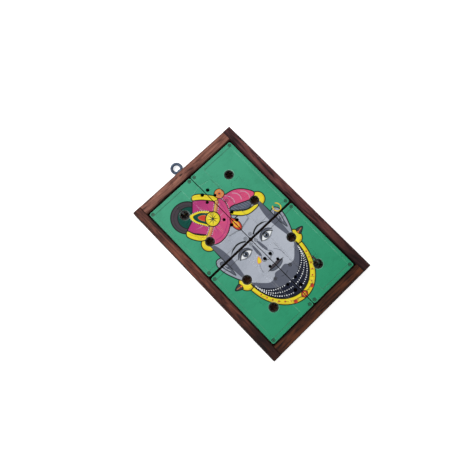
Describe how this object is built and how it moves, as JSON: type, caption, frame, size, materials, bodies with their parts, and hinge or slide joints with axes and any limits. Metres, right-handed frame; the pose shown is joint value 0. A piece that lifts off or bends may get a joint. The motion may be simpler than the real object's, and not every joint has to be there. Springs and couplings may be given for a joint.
{
  "type": "framed cassette key holder",
  "caption": "Hardwood-framed wall key holder made of painted audio cassettes, with turning spools, square key hooks and a hinged hanging ring.",
  "frame": {"origin": "centre of the frame's back face, on the wall side", "axes": "+X across the frame, +Y up towards the hanging ring, +Z out of the painted face"},
  "size_m": [0.1524, 0.2465, 0.0232],
  "materials": {
    "frame_wood": "dark stained, thin satin lacquer",
    "board_wood": "sanded plywood",
    "painted_shell": "hand-painted green with a pictured head, satin varnish",
    "shell_plastic": "moulded, satin",
    "painted_pane": "clear moulding, painted over",
    "spool_plastic": "moulded, satin",
    "tape": "wound tape, satin edge",
    "slip_film": "thin polyester film",
    "roller_plastic": "acetal, satin",
    "bright_steel": "ground, bright",
    "nail_steel": "dull, oiled",
    "screw_steel": "touched by the green paint",
    "ring_steel": "blue-grey, worn",
    "hook_steel": "glossy black",
    "spring_bronze": "rolled",
    "felt": "pressed felt",
    "foam": "closed-cell foam"
  },
  "bodies": {
    "plaque": {"left_stile": "frame_wood", "right_stile": "frame_wood", "top_rail": "frame_wood", "bottom_rail": "frame_wood", "backing_board": "board_wood", "corner_nails": "nail_steel", "board_brads": "nail_steel", "foam_pads": "foam", "ring_strap": "ring_steel", "strap_screws": "nail_steel", "upper_key_hook": "hook_steel", "lower_key_hook": "hook_steel", "shell_screws": "screw_steel", "roller_pins": "bright_steel", "tape_runs": "tape", "magnetic_shields": "bright_steel", "pressure_springs": "spring_bronze", "felt_pads": "felt", "upper_left_front_shell": "painted_shell", "upper_left_back_shell": "shell_plastic", "upper_left_window_panes": "painted_pane", "upper_left_slip_sheets": "slip_film", "upper_right_front_shell": "painted_shell", "upper_right_back_shell": "shell_plastic", "upper_right_window_panes": "painted_pane", "upper_right_slip_sheets": "slip_film", "lower_left_front_shell": "painted_shell", "lower_left_back_shell": "shell_plastic", "lower_left_window_panes": "painted_pane", "lower_left_slip_sheets": "slip_film", "lower_right_front_shell": "painted_shell", "lower_right_back_shell": "shell_plastic", "lower_right_window_panes": "painted_pane", "lower_right_slip_sheets": "slip_film"},
    "upper_left_upper_reel": {"upper_left_upper_spool": "spool_plastic", "upper_left_upper_tape_pack": "tape"},
    "upper_left_upper_roller": {"upper_left_upper_guide_roller": "roller_plastic"},
    "upper_left_lower_reel": {"upper_left_lower_spool": "spool_plastic", "upper_left_lower_tape_pack": "tape"},
    "upper_left_lower_roller": {"upper_left_lower_guide_roller": "roller_plastic"},
    "upper_right_upper_reel": {"upper_right_upper_spool": "spool_plastic", "upper_right_upper_tape_pack": "tape"},
    "upper_right_upper_roller": {"upper_right_upper_guide_roller": "roller_plastic"},
    "upper_right_lower_reel": {"upper_right_lower_spool": "spool_plastic", "upper_right_lower_tape_pack": "tape"},
    "upper_right_lower_roller": {"upper_right_lower_guide_roller": "roller_plastic"},
    "lower_left_upper_reel": {"lower_left_upper_spool": "spool_plastic", "lower_left_upper_tape_pack": "tape"},
    "lower_left_upper_roller": {"lower_left_upper_guide_roller": "roller_plastic"},
    "lower_left_lower_reel": {"lower_left_lower_spool": "spool_plastic", "lower_left_lower_tape_pack": "tape"},
    "lower_left_lower_roller": {"lower_left_lower_guide_roller": "roller_plastic"},
    "lower_right_upper_reel": {"lower_right_upper_spool": "spool_plastic", "lower_right_upper_tape_pack": "tape"},
    "lower_right_upper_roller": {"lower_right_upper_guide_roller": "roller_plastic"},
    "lower_right_lower_reel": {"lower_right_lower_spool": "spool_plastic", "lower_right_lower_tape_pack": "tape"},
    "lower_right_lower_roller": {"lower_right_lower_guide_roller": "roller_plastic"},
    "hanging_ring": {"hanging_ring": "ring_steel"}
  },
  "joints": [
    {"name": "upper_left_upper_reel_turn", "type": "hinge", "parent": "plaque", "child": "upper_left_upper_reel", "pos_m": [-0.03525, 0.0727, 0.011], "axis": [0, 0, 1], "continuous": true},
    {"name": "upper_left_upper_roller_turn", "type": "hinge", "parent": "plaque", "child": "upper_left_upper_roller", "pos_m": [-0.00625, 0.09105, 0.011], "axis": [0, 0, 1], "continuous": true},
    {"name": "upper_left_lower_reel_turn", "type": "hinge", "parent": "plaque", "child": "upper_left_lower_reel", "pos_m": [-0.03525, 0.0302, 0.011], "axis": [0, 0, 1], "continuous": true},
    {"name": "upper_left_lower_roller_turn", "type": "hinge", "parent": "plaque", "child": "upper_left_lower_roller", "pos_m": [-0.00625, 0.01185, 0.011], "axis": [0, 0, 1], "continuous": true},
    {"name": "upper_right_upper_reel_turn", "type": "hinge", "parent": "plaque", "child": "upper_right_upper_reel", "pos_m": [0.03525, 0.0727, 0.011], "axis": [0, 0, 1], "continuous": true},
    {"name": "upper_right_upper_roller_turn", "type": "hinge", "parent": "plaque", "child": "upper_right_upper_roller", "pos_m": [0.00625, 0.09105, 0.011], "axis": [0, 0, 1], "continuous": true},
    {"name": "upper_right_lower_reel_turn", "type": "hinge", "parent": "plaque", "child": "upper_right_lower_reel", "pos_m": [0.03525, 0.0302, 0.011], "axis": [0, 0, 1], "continuous": true},
    {"name": "upper_right_lower_roller_turn", "type": "hinge", "parent": "plaque", "child": "upper_right_lower_roller", "pos_m": [0.00625, 0.01185, 0.011], "axis": [0, 0, 1], "continuous": true},
    {"name": "lower_left_upper_reel_turn", "type": "hinge", "parent": "plaque", "child": "lower_left_upper_reel", "pos_m": [-0.03525, -0.0302, 0.011], "axis": [0, 0, 1], "continuous": true},
    {"name": "lower_left_upper_roller_turn", "type": "hinge", "parent": "plaque", "child": "lower_left_upper_roller", "pos_m": [-0.00625, -0.01185, 0.011], "axis": [0, 0, 1], "continuous": true},
    {"name": "lower_left_lower_reel_turn", "type": "hinge", "parent": "plaque", "child": "lower_left_lower_reel", "pos_m": [-0.03525, -0.0727, 0.011], "axis": [0, 0, 1], "continuous": true},
    {"name": "lower_left_lower_roller_turn", "type": "hinge", "parent": "plaque", "child": "lower_left_lower_roller", "pos_m": [-0.00625, -0.09105, 0.011], "axis": [0, 0, 1], "continuous": true},
    {"name": "lower_right_upper_reel_turn", "type": "hinge", "parent": "plaque", "child": "lower_right_upper_reel", "pos_m": [0.03525, -0.0302, 0.011], "axis": [0, 0, 1], "continuous": true},
    {"name": "lower_right_upper_roller_turn", "type": "hinge", "parent": "plaque", "child": "lower_right_upper_roller", "pos_m": [0.00625, -0.01185, 0.011], "axis": [0, 0, 1], "continuous": true},
    {"name": "lower_right_lower_reel_turn", "type": "hinge", "parent": "plaque", "child": "lower_right_lower_reel", "pos_m": [0.03525, -0.0727, 0.011], "axis": [0, 0, 1], "continuous": true},
    {"name": "lower_right_lower_roller_turn", "type": "hinge", "parent": "plaque", "child": "lower_right_lower_roller", "pos_m": [0.00625, -0.09105, 0.011], "axis": [0, 0, 1], "continuous": true},
    {"name": "ring_swing", "type": "hinge", "parent": "plaque", "child": "hanging_ring", "pos_m": [-0.002, 0.11855, 0.0029], "axis": [1, 0, 0], "range_deg": [-90, 90]}
  ],
  "couplings": [
    {"joint": "upper_left_lower_reel_turn", "follows": "upper_left_upper_reel_turn", "ratio": 1},
    {"joint": "upper_left_upper_roller_turn", "follows": "upper_left_upper_reel_turn", "ratio": 4.8462},
    {"joint": "upper_left_lower_roller_turn", "follows": "upper_left_upper_reel_turn", "ratio": 4.8462},
    {"joint": "upper_right_lower_reel_turn", "follows": "upper_right_upper_reel_turn", "ratio": 1},
    {"joint": "upper_right_upper_roller_turn", "follows": "upper_right_upper_reel_turn", "ratio": 4.8462},
    {"joint": "upper_right_lower_roller_turn", "follows": "upper_right_upper_reel_turn", "ratio": 4.8462},
    {"joint": "lower_left_lower_reel_turn", "follows": "lower_left_upper_reel_turn", "ratio": 1},
    {"joint": "lower_left_upper_roller_turn", "follows": "lower_left_upper_reel_turn", "ratio": 4.8462},
    {"joint": "lower_left_lower_roller_turn", "follows": "lower_left_upper_reel_turn", "ratio": 4.8462},
    {"joint": "lower_right_lower_reel_turn", "follows": "lower_right_upper_reel_turn", "ratio": 1},
    {"joint": "lower_right_upper_roller_turn", "follows": "lower_right_upper_reel_turn", "ratio": 4.8462},
    {"joint": "lower_right_lower_roller_turn", "follows": "lower_right_upper_reel_turn", "ratio": 4.8462}
  ]
}
